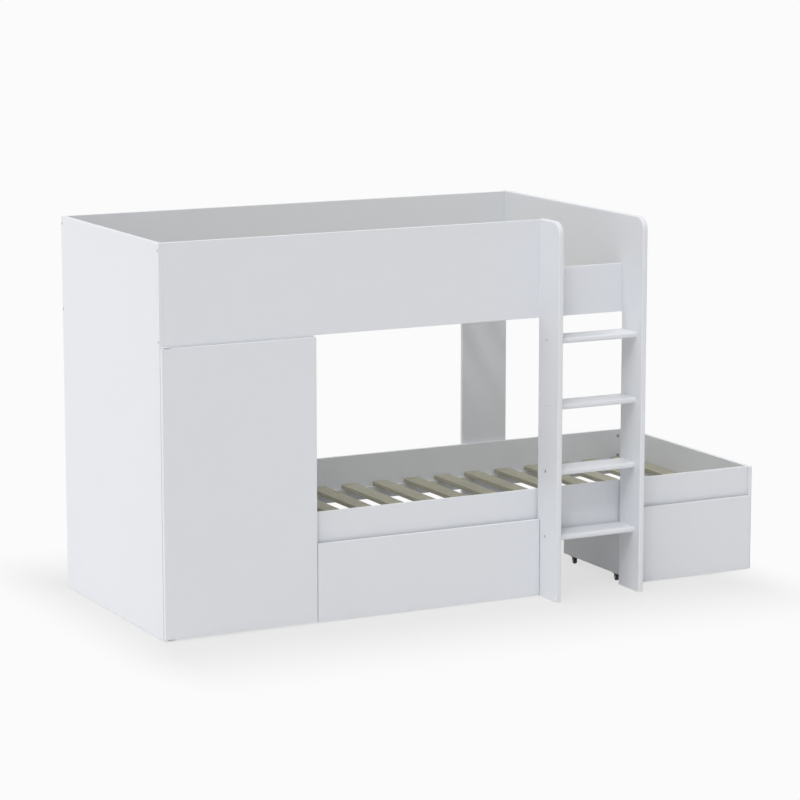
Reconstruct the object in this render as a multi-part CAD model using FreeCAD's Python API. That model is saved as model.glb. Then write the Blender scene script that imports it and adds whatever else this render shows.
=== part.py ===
import FreeCAD, Part
import math
import os

# Bunk bed of white melamine-faced board: an upper bunk over a wardrobe and a ladder, with a lower bed
# set off to the right and two drawers on casters under it. All sizes are millimetres.
# Pieces are worked out from a datum corner: X = 0 on the outer face of the left end panel, Y = 0 on the
# front edges of the end panels, Z = 0 on the floor, with +X to the right and +Y towards the wall.

Vector = FreeCAD.Vector
RIGHT = Vector(1, 0, 0)
LEFT = Vector(-1, 0, 0)
BACKWARD = Vector(0, 1, 0)
FORWARD = Vector(0, -1, 0)
UP = Vector(0, 0, 1)
DOWN = Vector(0, 0, -1)

# Boards
board = 16.0              # end panels, guards, rails, fronts and wardrobe
stout_board = 22.0        # ladder sides, steps and right end
hardboard = 3.0           # wardrobe back and drawer bottoms
edge_round = 1.0          # taped edges of the boards
stout_round = 5.0         # softened front and top edges of the ladder sides
step_round = 8.0          # front edges of the steps
round_share = 0.45        # largest rounding as a share of the board it is on
groove_depth = 5.0        # grooves that hold the hardboard
groove_end_gap = 0.3      # between a hardboard edge and the bottom of its groove
groove_play = 0.1         # each side of a hardboard in its groove

# Upper bunk
frame_height = 1480.0
frame_depth = 965.0
upper_inside_length = 1945.0
guard_height = 380.0
entry_guard_height = 190.0
rear_leg_width = 208.0
rear_leg_height = 1440.0

# Ladder
ladder_clear_width = 352.0
ladder_projection = 149.0
ladder_corner = 50.0      # radius of the front top corners of both ladder sides
ladder_rise = 4.0         # ladder sides and right end above the guards
step_count = 4
step_depth = 106.0
step_back_inset = 4.0     # from the rear edge of the ladder sides

# Lower bed
lower_inside_length = 1945.0
rail_height = 190.0
rail_bottom = 233.0
rail_setback = 9.0        # front rail behind the panel edges: leaves the finger gap above the drawers

# Slatted bases
cleat_lift = 26.0         # underside of a cleat above the lower edge of its rail
cleat_height = 28.0
cleat_width = 20.0
slat_count = 14
slat_width = 70.0
slat_thickness = 18.0
slat_round = 3.0
slat_end_gap = 2.0        # slat end to rail
slat_first_gap = 4.0      # first and last slat to the boards across the bed

# Wardrobe
wardrobe_inside_width = 592.0
shelf_height = 860.0      # underside of the shelf
shelf_setback = 20.0
shelf_play = 0.5
shelf_pin_radius = 2.5
shelf_pin_reach = 8.0     # into the panel and out of it
shelf_pin_inset = 60.0    # from the front and back of the shelf
back_groove_inset = 20.0  # wardrobe back in front of the rear edges
hanging_rail_radius = 12.5
hanging_rail_wall = 1.2
hanging_rail_drop = 60.0  # axis below the shelf
socket_flange_radius = 22.0
socket_flange = 3.0
socket_wall = 2.8
socket_depth = 14.0

# Wardrobe door, its pivots and its latch
door_gap = 3.0            # door to the carcass edges
door_reveal = 1.0         # door short of the carcass sides
door_floor_gap = 8.0
pivot_from_edge = 6.5     # pivot axis from the left edge of the door
pivot_from_front = 6.0    # pivot axis from the front face of the door
pivot_plate = 2.5
pivot_plate_clearance = 0.5
pivot_plate_width = 24.0
pivot_plate_depth = 60.0
pivot_tongue_radius = 5.5
pivot_pin_radius = 2.0
pivot_pin_length = 13.0
bush_radius = 3.5
bush_depth = 14.0
bush_flange = 2.0
bush_flange_radius = 5.5
bush_lift = 0.3           # play above the door
latch_width = 14.0
latch_height = 16.0
latch_length = 52.0
latch_setback = 0.5
plunger_radius = 4.0
plunger_length = 40.0
strike_size = 16.0
strike_thickness = 1.2
strike_gap = 0.2

# Drawers
drawer_reveal = 2.0
drawer_gap = 3.0          # drawer fronts to the panel edges, in line with the door
drawer_floor_gap = 5.0
drawer_front_height = 302.0
drawer_depth = 480.0      # box behind the front
drawer_side_inset = 2.0   # box narrower than the front, each end
drawer_rail_gap = 8.0     # box under the front rail
drawer_bottom_lift = 12.0  # hardboard above the lower edge of the sides

# Casters
wheel_radius = 13.0
wheel_width = 10.0
wheel_edge_round = 2.0
wheel_hub_radius = 5.0
wheel_rim = 2.8
wheel_dish = 1.5          # depth of the ring between hub and rim
wheel_side_gap = 0.5
wheel_top_gap = 2.0
fork_plate = 2.0
fork_plate_length = 40.0
fork_cheek = 2.0
fork_neck = 9.0           # half length of a cheek at the plate
fork_foot_radius = 6.0
caster_inset = 75.0       # from each end of the drawer box
axle_radius = 2.0
axle_head_radius = 3.2
axle_head = 0.8

# Fixings
running_gap = 0.05        # radial, pins and axles that turn
drilled_gap = 0.15        # radial, fixed pieces in their holes
screw_length = 50.0
screw_radius = 3.0
screw_head = 3.0
screw_head_radius = 6.0
screw_socket = 4.0        # across the flats of the hexagon
screw_socket_depth = 2.0
leg_screw_length = 30.0
cam_radius = 7.5
cam_depth = 12.5
cam_inset = 40.0          # cam axis from the end of its board
cam_slot = 1.6            # width of the cross slot
cam_slot_length = 9.0
cam_slot_depth = 1.5
cam_pin_radius = 3.25
cam_pin_depth = 9.0       # in the board that it pulls
cam_pin_start = 1.6       # past the axis of the cam
dowel_radius = 4.0
dowel_depth = 12.0        # in the first board
dowel_length = 32.0
dowel_spread = 35.0       # step dowels either side of the screw
top_fix = 28.0            # fixings below the upper edge of a guard or rail
low_fix = 17.0            # fixings above the lower edge of a guard
rail_low_fix = 77.0       # lower fixings of a rail above its lower edge, clear of the slats
entry_low_fix = 90.0      # lower fixing of the entry guard
carcass_fix = 60.0        # wardrobe fixings from the front and back
leg_fix = 40.0            # rear leg screws from its edges
glide_height = 3.0
glide_radius = 7.0
glide_chamfer = 0.8
glide_inset = 40.0        # glides from the ends of a panel

# Places that the sizes give, along X
left_inner = board
right_inner = left_inner + upper_inside_length
right_outer = right_inner + stout_board
stile_right = right_inner - ladder_clear_width
stile_left = stile_right - stout_board
wardrobe_right = left_inner + wardrobe_inside_width
headboard_face = wardrobe_right + board
foot_inner = headboard_face + lower_inside_length
foot_outer = foot_inner + board
leg_left = right_outer - rear_leg_width

# Places along Y
guard_back = board
back_inner = frame_depth - board
leg_back = frame_depth + board
ladder_front = -ladder_projection
step_back = -step_back_inset
step_front = step_back - step_depth
step_middle = (step_front + step_back) / 2
rail_back = rail_setback + board
hardboard_back = frame_depth - back_groove_inset
hardboard_front = hardboard_back - hardboard

# Places along Z
guard_bottom = frame_height - guard_height
entry_top = guard_bottom + entry_guard_height
step_rise = entry_top / (step_count + 1)
rail_top = rail_bottom + rail_height
ladder_top = frame_height + ladder_rise
pivot_seat = guard_bottom - pivot_plate_clearance - pivot_plate
wardrobe_floor_underside = door_floor_gap - bush_flange

origin = Vector(max(right_outer, foot_outer) / 2, (ladder_front + leg_back) / 2, 0)
touch = 0.01  # closer than this counts as the same place
pieces = {}


def block(x0, x1, y0, y1, z0, z1):
    """Rectangular solid between two corners."""
    return Part.makeBox(x1 - x0, y1 - y0, z1 - z0, Vector(x0, y0, z0))


def eased(solid):
    """A board with all its edges rounded like taped edges."""
    return solid.makeFillet(edge_round, solid.Edges)


def rod(radius, length, start, direction):
    """Round bar from a start point along a direction."""
    return Part.makeCylinder(radius, length, start, direction)


def cut_from(names, tool):
    """Take the tool's volume out of the named pieces."""
    for name in names:
        pieces[name] = pieces[name][0].cut(tool).Solids


# End panels, ladder sides and footboard

def ladder_side(x0, outline):
    """Stout board from a side outline, its front and top edges softened."""
    face = Part.Face(Part.Wire(outline))
    solid = face.extrude(RIGHT * stout_board)
    soft = []
    for edge in solid.Edges:
        along_face = abs(edge.Vertexes[0].X - edge.Vertexes[-1].X) < touch
        middle = edge.CenterOfMass
        at_front = abs(middle.y - ladder_front) < touch
        at_top = abs(middle.z - ladder_top) < touch
        is_corner = isinstance(edge.Curve, Part.Circle)
        if along_face and (at_front or at_top or is_corner):
            soft.append(edge)
    softened = solid.makeFillet(min(stout_round, round_share * stout_board), soft)
    softened.translate(RIGHT * x0)
    return softened


def ladder_outline(back_points):
    """Closed outline up the ladder's front, round its top corner and back through the given points."""
    corner_start = Vector(0, ladder_front, ladder_top - ladder_corner)
    corner_end = Vector(0, ladder_front + ladder_corner, ladder_top)
    centre = Vector(0, ladder_front + ladder_corner, ladder_top - ladder_corner)
    lean = ladder_corner * math.sqrt(0.5)
    corner_middle = centre + Vector(0, -lean, lean)
    foot = Vector(0, ladder_front, glide_height)
    points = [corner_end] + [Vector(0, y, z) for y, z in back_points] + [foot, corner_start]
    edges = [Part.Arc(corner_start, corner_middle, corner_end).toShape()]
    for start, end in zip(points, points[1:]):
        edges.append(Part.makeLine(start, end))
    return edges


pieces["left_end_panel"] = [eased(block(0, board, 0, frame_depth, glide_height, frame_height))]
stile_points = [(0, ladder_top), (0, glide_height)]
end_points = [(frame_depth, ladder_top), (frame_depth, guard_bottom), (0, guard_bottom), (0, glide_height)]
pieces["left_ladder_stile"] = [ladder_side(stile_left, ladder_outline(stile_points))]
pieces["right_end_panel"] = [ladder_side(right_inner, ladder_outline(end_points))]
pieces["footboard"] = [eased(block(foot_inner, foot_outer, 0, frame_depth, glide_height, rail_top))]
pieces["rear_leg"] = [
    eased(block(leg_left, right_outer, frame_depth, leg_back, glide_height, rear_leg_height))]

# Guards and rails: the front guard runs on behind the left ladder side

pieces["upper_front_guard"] = [
    eased(block(left_inner, stile_right, 0, guard_back, guard_bottom, frame_height))]
pieces["upper_entry_guard"] = [
    eased(block(stile_right, right_inner, 0, guard_back, guard_bottom, entry_top))]
pieces["upper_back_panel"] = [
    eased(block(left_inner, right_inner, back_inner, frame_depth, guard_bottom, frame_height))]
pieces["lower_front_rail"] = [
    eased(block(headboard_face, foot_inner, rail_setback, rail_back, rail_bottom, rail_top))]
pieces["lower_back_rail"] = [
    eased(block(headboard_face, foot_inner, back_inner, frame_depth, rail_bottom, rail_top))]

# Ladder steps

for step in range(1, step_count + 1):
    step_top = step * step_rise
    tread = block(stile_right, right_inner, step_front, step_back, step_top - stout_board, step_top)
    nose = [edge for edge in tread.Edges if abs(edge.CenterOfMass.y - step_front) < touch
            and edge.Length > stout_board + touch]
    pieces[f"ladder_step_{step}"] = [tread.makeFillet(min(step_round, round_share * stout_board), nose)]

# Slatted bases: cleats along the rails and loose-laid slats across them


def slatted_base(name, x0, x1, y0, y1, edge_below):
    """Two cleats on the inner faces at y0 and y1, and a row of evenly spaced slats on them."""
    cleat_bottom = edge_below + cleat_lift
    slat_bottom = cleat_bottom + cleat_height
    pieces[f"{name}_front_cleat"] = [block(x0, x1, y0, y0 + cleat_width, cleat_bottom, slat_bottom)]
    pieces[f"{name}_back_cleat"] = [block(x0, x1, y1 - cleat_width, y1, cleat_bottom, slat_bottom)]
    pitch = (x1 - x0 - 2 * slat_first_gap - slat_width) / (slat_count - 1)
    slats = []
    for number in range(slat_count):
        left = x0 + slat_first_gap + number * pitch
        slat = block(left, left + slat_width, y0 + slat_end_gap, y1 - slat_end_gap,
                     slat_bottom, slat_bottom + slat_thickness)
        long_edges = [edge for edge in slat.Edges if edge.Length > slat_width + touch]
        slats.append(slat.makeFillet(slat_round, long_edges))
    pieces[f"{name}_slats"] = slats


slatted_base("upper", left_inner, right_inner, guard_back, back_inner, guard_bottom)
slatted_base("lower", headboard_face, foot_inner, rail_back, back_inner, rail_bottom)

# Wardrobe carcass, shelf and hanging rail

pieces["wardrobe_side_panel"] = [
    eased(block(wardrobe_right, headboard_face, 0, frame_depth, glide_height, guard_bottom))]
pieces["wardrobe_top"] = [block(left_inner, wardrobe_right, 0, hardboard_front - groove_play,
                                guard_bottom - board, guard_bottom)]
plate_pocket = block(left_inner, left_inner + pivot_plate_width + drilled_gap, 0,
                     pivot_plate_depth + drilled_gap, pivot_seat, guard_bottom)
cut_from(["wardrobe_top"], plate_pocket)
pieces["wardrobe_floor"] = [block(left_inner, wardrobe_right, 0, hardboard_front - groove_play,
                                  wardrobe_floor_underside, wardrobe_floor_underside + board)]
back_reach = groove_depth - groove_end_gap
pieces["wardrobe_back"] = [
    block(left_inner - back_reach, wardrobe_right + back_reach, hardboard_front, hardboard_back,
          wardrobe_floor_underside, guard_bottom)]
back_groove = block(left_inner - groove_depth, wardrobe_right + groove_depth,
                    hardboard_front - groove_play, hardboard_back + groove_play, 0,
                    guard_bottom + groove_end_gap)
cut_from(["left_end_panel", "wardrobe_side_panel"], back_groove)

shelf_back = hardboard_front - shelf_play
pieces["wardrobe_shelf"] = [eased(block(left_inner + shelf_play, wardrobe_right - shelf_play,
                                        shelf_setback, shelf_back, shelf_height, shelf_height + board))]
pin_level = shelf_height - shelf_pin_radius
shelf_pins = []
for pin_y in (shelf_setback + shelf_pin_inset, shelf_back - shelf_pin_inset):
    for panel, face in (("left_end_panel", left_inner), ("wardrobe_side_panel", wardrobe_right)):
        start = Vector(face - shelf_pin_reach, pin_y, pin_level)
        shelf_pins.append(rod(shelf_pin_radius, 2 * shelf_pin_reach, start, RIGHT))
        pin_hole_start = start - RIGHT * drilled_gap
        pin_hole_length = 2 * (shelf_pin_reach + drilled_gap)
        cut_from([panel], rod(shelf_pin_radius + drilled_gap, pin_hole_length, pin_hole_start, RIGHT))
pieces["shelf_pins"] = shelf_pins

hanging_level = shelf_height - hanging_rail_drop
hanging_y = hardboard_front / 2
hanging_start = Vector(left_inner + socket_flange, hanging_y, hanging_level)
hanging_length = wardrobe_inside_width - 2 * socket_flange
tube = rod(hanging_rail_radius, hanging_length, hanging_start, RIGHT)
tube_inside = rod(hanging_rail_radius - hanging_rail_wall, hanging_length, hanging_start, RIGHT)
pieces["hanging_rail"] = [tube.cut(tube_inside)]
sockets = []
for face, inwards in ((left_inner, RIGHT), (wardrobe_right, LEFT)):
    seat = Vector(face, hanging_y, hanging_level)
    cup_bore = hanging_rail_radius + drilled_gap
    flange = rod(socket_flange_radius, socket_flange, seat, inwards)
    cup = rod(cup_bore + socket_wall, socket_depth, seat, inwards)
    bore = rod(cup_bore, socket_depth, seat + inwards * socket_flange, inwards)
    sockets.append(flange.fuse(cup).cut(bore).removeSplitter())
pieces["hanging_rail_sockets"] = sockets

# Wardrobe door on two pivots, with a push latch at its free edge

door_back = -door_gap
door_front = door_back - board
door_left = door_reveal
door_right = headboard_face - door_reveal
door_bottom = door_floor_gap
door_top = pivot_seat - bush_lift - bush_flange
pivot_x = door_left + pivot_from_edge
pivot_y = door_front + pivot_from_front
pieces["wardrobe_door"] = [eased(block(door_left, door_right, door_front, door_back, door_bottom, door_top))]


def pivot_bush(seat, inwards):
    """Flanged sleeve let into an edge of the door, bored for the pivot pin."""
    flange = rod(bush_flange_radius, bush_flange, seat - inwards * bush_flange, inwards)
    sleeve = rod(bush_radius, bush_depth, seat, inwards)
    bore_length = bush_flange + bush_depth
    bore = rod(pivot_pin_radius + running_gap, bore_length, seat - inwards * bush_flange, inwards)
    return flange.fuse(sleeve).cut(bore).removeSplitter()


def pivot_plate_with_pin(underside, pin_face, pin_direction):
    """Flat plate behind the panel edge, a round-ended tongue in front of it and a riveted pin."""
    plate = block(left_inner, left_inner + pivot_plate_width, 0, pivot_plate_depth,
                  underside, underside + pivot_plate)
    tongue = block(pivot_x, left_inner + pivot_plate_width, pivot_y - pivot_tongue_radius, 0,
                   underside, underside + pivot_plate)
    shoulder = block(pivot_x - pivot_tongue_radius, pivot_x, pivot_y, 0, underside, underside + pivot_plate)
    tip = rod(pivot_tongue_radius, pivot_plate, Vector(pivot_x, pivot_y, underside), UP)
    pin = rod(pivot_pin_radius, pivot_pin_length, Vector(pivot_x, pivot_y, pin_face), pin_direction)
    return plate.fuse([tongue, shoulder, tip, pin]).removeSplitter()


lower_plate_underside = wardrobe_floor_underside - pivot_plate
lower_seat = Vector(pivot_x, pivot_y, door_bottom)
upper_seat = Vector(pivot_x, pivot_y, door_top)
pieces["pivot_plate_bottom"] = [pivot_plate_with_pin(lower_plate_underside, wardrobe_floor_underside, UP)]
pieces["pivot_plate_top"] = [pivot_plate_with_pin(pivot_seat, pivot_seat, DOWN)]
pieces["door_pivot_bushes"] = [pivot_bush(lower_seat, UP), pivot_bush(upper_seat, DOWN)]
for seat, inwards in ((lower_seat, UP), (upper_seat, DOWN)):
    cut_from(["wardrobe_door"], rod(bush_radius + drilled_gap, bush_depth + drilled_gap, seat, inwards))

latch_level = (door_bottom + door_top) / 2
latch_x = wardrobe_right - latch_width / 2
strike_face = door_back + strike_thickness
latch_body = eased(block(wardrobe_right - latch_width, wardrobe_right,
                         latch_setback, latch_setback + latch_length,
                         latch_level - latch_height / 2, latch_level + latch_height / 2))
plunger_start = Vector(latch_x, strike_face + strike_gap, latch_level)
latch_bore = rod(plunger_radius + running_gap, plunger_length + strike_gap, plunger_start, BACKWARD)
pieces["push_latch_housing"] = [latch_body.cut(latch_bore)]
pieces["push_latch_plunger"] = [rod(plunger_radius, plunger_length, plunger_start, BACKWARD)]
pieces["latch_strike"] = [block(latch_x - strike_size / 2, latch_x + strike_size / 2, door_back, strike_face,
                                latch_level - strike_size / 2, latch_level + strike_size / 2)]

# Drawers: front, two sides, back, grooved-in bottom, and four casters

drawer_side_bottom = 2 * wheel_radius + wheel_top_gap + fork_plate
drawer_side_top = rail_bottom - drawer_rail_gap
drawer_front_back = -drawer_gap
drawer_back_end = drawer_front_back + drawer_depth
bottom_level = drawer_side_bottom + drawer_bottom_lift


def caster_fork(x, y):
    """Plate under a drawer side with two cheeks that narrow to a round foot at the axle."""
    plate_bottom = drawer_side_bottom - fork_plate
    plate = block(x - board / 2, x + board / 2, y - fork_plate_length / 2, y + fork_plate_length / 2,
                  plate_bottom, drawer_side_bottom)
    inner = wheel_width / 2 + wheel_side_gap
    left_foot = Vector(0, y - fork_foot_radius, wheel_radius)
    lowest = Vector(0, y, wheel_radius - fork_foot_radius)
    right_foot = Vector(0, y + fork_foot_radius, wheel_radius)
    right_neck = Vector(0, y + fork_neck, plate_bottom)
    left_neck = Vector(0, y - fork_neck, plate_bottom)
    outline = Part.Wire([Part.Arc(left_foot, lowest, right_foot).toShape(),
                         Part.makeLine(right_foot, right_neck),
                         Part.makeLine(right_neck, left_neck),
                         Part.makeLine(left_neck, left_foot)])
    cheek = Part.Face(outline).extrude(RIGHT * fork_cheek)
    left_cheek = cheek.translated(RIGHT * (x - inner - fork_cheek))
    right_cheek = cheek.translated(RIGHT * (x + inner))
    span = 2 * (inner + fork_cheek)
    axle_hole = rod(axle_radius + drilled_gap, span, Vector(x - span / 2, y, wheel_radius), RIGHT)
    return plate.fuse([left_cheek, right_cheek]).removeSplitter().cut(axle_hole)


def caster_axle(x, y):
    """Riveted pin across the fork with a flat head on each end."""
    half = wheel_width / 2 + wheel_side_gap + fork_cheek
    pin = rod(axle_radius, 2 * half, Vector(x - half, y, wheel_radius), RIGHT)
    left_head = rod(axle_head_radius, axle_head, Vector(x - half, y, wheel_radius), LEFT)
    right_head = rod(axle_head_radius, axle_head, Vector(x + half, y, wheel_radius), RIGHT)
    return pin.fuse([left_head, right_head]).removeSplitter()


def caster_wheel(x, y):
    """Wheel turned from a half section: bored hub, dished web and round-edged tread."""
    half = wheel_width / 2
    bore = axle_radius + running_gap
    rim_inside = wheel_radius - wheel_rim
    tread = wheel_radius
    soft = wheel_edge_round
    slant = soft * (1 - math.sqrt(0.5))
    corners = [(-half, bore), (half, bore), (half, wheel_hub_radius), (half - wheel_dish, wheel_hub_radius),
               (half - wheel_dish, rim_inside), (half, rim_inside), (half, tread - soft)]
    far_corners = [(-half, tread - soft), (-half, rim_inside), (wheel_dish - half, rim_inside),
                   (wheel_dish - half, wheel_hub_radius), (-half, wheel_hub_radius), (-half, bore)]
    near = [Vector(along, radius, 0) for along, radius in corners]
    far = [Vector(along, radius, 0) for along, radius in far_corners]
    near_top = Vector(half - soft, tread, 0)
    far_top = Vector(soft - half, tread, 0)
    edges = [Part.makeLine(start, end) for start, end in zip(near, near[1:])]
    edges.append(Part.Arc(near[-1], Vector(half - slant, tread - slant, 0), near_top).toShape())
    edges.append(Part.makeLine(near_top, far_top))
    edges.append(Part.Arc(far_top, Vector(slant - half, tread - slant, 0), far[0]).toShape())
    edges += [Part.makeLine(start, end) for start, end in zip(far, far[1:])]
    wheel = Part.Face(Part.Wire(edges)).revolve(Vector(0, 0, 0), RIGHT, 360)
    wheel.translate(Vector(x, y, wheel_radius))
    return wheel


def drawer(name, x0, x1):
    """One drawer whose front reaches from x0 to x1."""
    left_out = x0 + drawer_side_inset
    left_in = left_out + board
    right_out = x1 - drawer_side_inset
    right_in = right_out - board
    front = block(x0, x1, drawer_front_back - board, drawer_front_back,
                  drawer_floor_gap, drawer_floor_gap + drawer_front_height)
    pieces[f"{name}_front"] = [eased(front)]
    for side, inner, outer in (("left", left_out, left_in), ("right", right_in, right_out)):
        pieces[f"{name}_{side}_side"] = [
            block(inner, outer, drawer_front_back, drawer_back_end, drawer_side_bottom, drawer_side_top)]
    back_face = drawer_back_end - board
    pieces[f"{name}_back"] = [
        block(left_in, right_in, back_face, drawer_back_end, drawer_side_bottom, drawer_side_top)]
    reach = groove_depth - groove_end_gap
    pieces[f"{name}_bottom"] = [block(left_in - reach, right_in + reach,
                                      drawer_front_back - reach, back_face + reach,
                                      bottom_level, bottom_level + hardboard)]
    groove = block(left_in - groove_depth, right_in + groove_depth,
                   drawer_front_back - groove_depth, back_face + groove_depth,
                   bottom_level - groove_play, bottom_level + hardboard + groove_play)
    cut_from([f"{name}_front", f"{name}_left_side", f"{name}_right_side", f"{name}_back"], groove)
    caster_x = (left_out + board / 2, right_out - board / 2)
    rows = (("front", drawer_front_back + caster_inset), ("rear", drawer_back_end - caster_inset))
    pieces[f"{name}_caster_forks"] = [caster_fork(x, y) for _, y in rows for x in caster_x]
    pieces[f"{name}_caster_axles"] = [caster_axle(x, y) for _, y in rows for x in caster_x]
    for row, y in rows:
        pieces[f"{name}_{row}_wheels"] = [caster_wheel(x, y) for x in caster_x]


drawer("left_drawer", headboard_face + drawer_reveal, stile_left - drawer_reveal)
drawer("right_drawer", right_outer + drawer_reveal, foot_inner - drawer_reveal)

# Flush screws with a hexagon socket: guards and back panel to the ends, steps to the ladder sides


def flush_screw(head_face, direction, length, grow):
    """Flat-headed screw with its head's outer face at head_face, made larger all round by grow."""
    head = rod(screw_head_radius + grow, screw_head, head_face, direction)
    shank = rod(screw_radius + grow, length + grow, head_face, direction)
    return head.fuse(shank).removeSplitter()


def socketed(screw, head_face, direction):
    """The screw with a hexagon socket sunk into its head."""
    corner = screw_socket / math.sqrt(3)
    ring = []
    for turn in range(7):
        angle = turn * math.pi / 3
        ring.append(Vector(corner * math.cos(angle), corner * math.sin(angle), 0))
    hexagon = Part.Face(Part.makePolygon(ring)).extrude(UP * screw_socket_depth)
    hexagon.Placement = FreeCAD.Placement(head_face, FreeCAD.Rotation(UP, direction))
    return screw.cut(hexagon)


def screw_together(names, head_face, direction, length):
    """Drill the named boards and return the screw that goes in."""
    cut_from(names, flush_screw(head_face, direction, length, drilled_gap))
    return socketed(flush_screw(head_face, direction, length, 0), head_face, direction)


guard_middle = guard_back / 2
back_middle = back_inner + board / 2
guard_levels = (frame_height - top_fix, guard_bottom + low_fix)
entry_levels = (entry_top - top_fix, guard_bottom + entry_low_fix)
stile_middle = stile_left + stout_board / 2
screws = []
for level in guard_levels:
    for y, held in ((guard_middle, "upper_front_guard"), (back_middle, "upper_back_panel")):
        screws.append(screw_together(["left_end_panel", held], Vector(0, y, level), RIGHT, screw_length))
    back_head = Vector(right_outer, back_middle, level)
    screws.append(screw_together(["right_end_panel", "upper_back_panel"], back_head, LEFT, screw_length))
    stile_head = Vector(stile_middle, guard_back, level)
    stile_pair = ["upper_front_guard", "left_ladder_stile"]
    screws.append(screw_together(stile_pair, stile_head, FORWARD, screw_length))
for level in entry_levels:
    entry_head = Vector(right_outer, guard_middle, level)
    screws.append(screw_together(["right_end_panel", "upper_entry_guard"], entry_head, LEFT, screw_length))
for step in range(1, step_count + 1):
    level = step * step_rise - stout_board / 2
    held = f"ladder_step_{step}"
    left_head = Vector(stile_left, step_middle, level)
    right_head = Vector(right_outer, step_middle, level)
    screws.append(screw_together(["left_ladder_stile", held], left_head, RIGHT, screw_length))
    screws.append(screw_together(["right_end_panel", held], right_head, LEFT, screw_length))
pieces["panel_screws"] = screws

leg_screws = []
leg_rows = ((rear_leg_height - leg_fix, "upper_back_panel"), (guard_bottom + leg_fix, "upper_back_panel"),
            (rail_top - leg_fix, "lower_back_rail"))
for level, held in leg_rows:
    for x in (leg_left + leg_fix, right_inner - leg_fix):
        leg_head = Vector(x, leg_back, level)
        leg_screws.append(screw_together(["rear_leg", held], leg_head, FORWARD, leg_screw_length))
pieces["rear_leg_screws"] = leg_screws

# Cam locks: a round cam let into the board's face, and a pin in the board that it pulls tight


def cam_lock(held, pulled, face_point, outwards, towards):
    """Drill both boards; return the cam and its pin. face_point is on the board's face over the cam."""
    axis_middle = face_point - outwards * (board / 2)
    reach = cam_inset + cam_pin_depth
    cam = rod(cam_radius, cam_depth, face_point, -outwards)
    across = towards.cross(outwards)
    for slot_axis in (towards, across):
        slot_side = outwards.cross(slot_axis)
        along = slot_axis * cam_slot_length
        wide = slot_side * cam_slot
        corner = face_point - along / 2 - wide / 2 - outwards * cam_slot_depth
        slot_ring = [corner, corner + along, corner + along + wide, corner + wide, corner]
        slot = Part.Face(Part.makePolygon(slot_ring))
        cam = cam.cut(slot.extrude(outwards * cam_slot_depth))
    pin_hole = rod(cam_pin_radius + drilled_gap, reach + drilled_gap, axis_middle, towards)
    cam = cam.cut(pin_hole)
    pin = rod(cam_pin_radius, reach - cam_pin_start, axis_middle + towards * cam_pin_start, towards)
    pocket = rod(cam_radius + drilled_gap, cam_depth + drilled_gap, face_point, -outwards)
    cut_from([held], pocket)
    cut_from([held, pulled], pin_hole)
    return cam, pin


cams = []
rail_levels = (rail_top - top_fix, rail_bottom + rail_low_fix)
rail_faces = (("lower_front_rail", rail_back, BACKWARD), ("lower_back_rail", back_inner, FORWARD))
for level in rail_levels:
    for held, face_y, outwards in rail_faces:
        near_head = Vector(headboard_face + cam_inset, face_y, level)
        near_foot = Vector(foot_inner - cam_inset, face_y, level)
        cams.append(cam_lock(held, "wardrobe_side_panel", near_head, outwards, LEFT))
        cams.append(cam_lock(held, "footboard", near_foot, outwards, RIGHT))
for level in entry_levels:
    near_entry = Vector(stile_right + cam_inset, guard_back, level)
    cams.append(cam_lock("upper_entry_guard", "upper_front_guard", near_entry, BACKWARD, LEFT))
carcass_faces = (("wardrobe_top", guard_bottom, UP), ("wardrobe_floor", wardrobe_floor_underside, DOWN))
for held, level, outwards in carcass_faces:
    for y in (carcass_fix + pivot_plate_depth, hardboard_front - carcass_fix):
        near_left = Vector(left_inner + cam_inset, y, level)
        near_right = Vector(wardrobe_right - cam_inset, y, level)
        cams.append(cam_lock(held, "left_end_panel", near_left, outwards, LEFT))
        cams.append(cam_lock(held, "wardrobe_side_panel", near_right, outwards, RIGHT))
pieces["cam_locks"] = [cam for cam, _ in cams]
pieces["cam_pins"] = [pin for _, pin in cams]

# Wooden dowels: two in each step end, and two under the guards on the wardrobe side panel


def dowel_joint(names, start, direction):
    """Drill the named boards for a dowel that starts dowel_depth inside the first and return the dowel."""
    inside = start - direction * dowel_depth
    hole_start = inside - direction * drilled_gap
    cut_from(names, rod(dowel_radius + drilled_gap, dowel_length + 2 * drilled_gap, hole_start, direction))
    return rod(dowel_radius, dowel_length, inside, direction)


dowels = []
for step in range(1, step_count + 1):
    level = step * step_rise - stout_board / 2
    held = f"ladder_step_{step}"
    for y in (step_middle - dowel_spread, step_middle + dowel_spread):
        dowels.append(dowel_joint(["left_ladder_stile", held], Vector(stile_right, y, level), RIGHT))
        dowels.append(dowel_joint(["right_end_panel", held], Vector(right_inner, y, level), LEFT))
side_middle = wardrobe_right + board / 2
for y, held in ((guard_middle, "upper_front_guard"), (back_middle, "upper_back_panel")):
    side_top = Vector(side_middle, y, guard_bottom)
    dowels.append(dowel_joint(["wardrobe_side_panel", held], side_top, UP))
pieces["wooden_dowels"] = dowels

# Floor glides: plastic discs nailed under the boards that stand on the floor


def glide(x, y):
    """Disc with a chamfered lower edge."""
    disc = rod(glide_radius, glide_height, Vector(x, y, 0), UP)
    lower = [edge for edge in disc.Edges if edge.BoundBox.ZMax < touch]
    return disc.makeChamfer(glide_chamfer, lower)


glides = []
for x in (board / 2, side_middle, foot_inner + board / 2):
    for y in (glide_inset, frame_depth / 2, frame_depth - glide_inset):
        glides.append(glide(x, y))
for x in (stile_middle, right_inner + stout_board / 2):
    for y in (ladder_front + glide_inset, -glide_inset):
        glides.append(glide(x, y))
for x in (leg_left + glide_inset, right_outer - glide_inset):
    glides.append(glide(x, frame_depth + board / 2))
pieces["floor_glides"] = glides

# One STEP file for each piece or group of like pieces, with the origin on the floor under the middle

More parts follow.
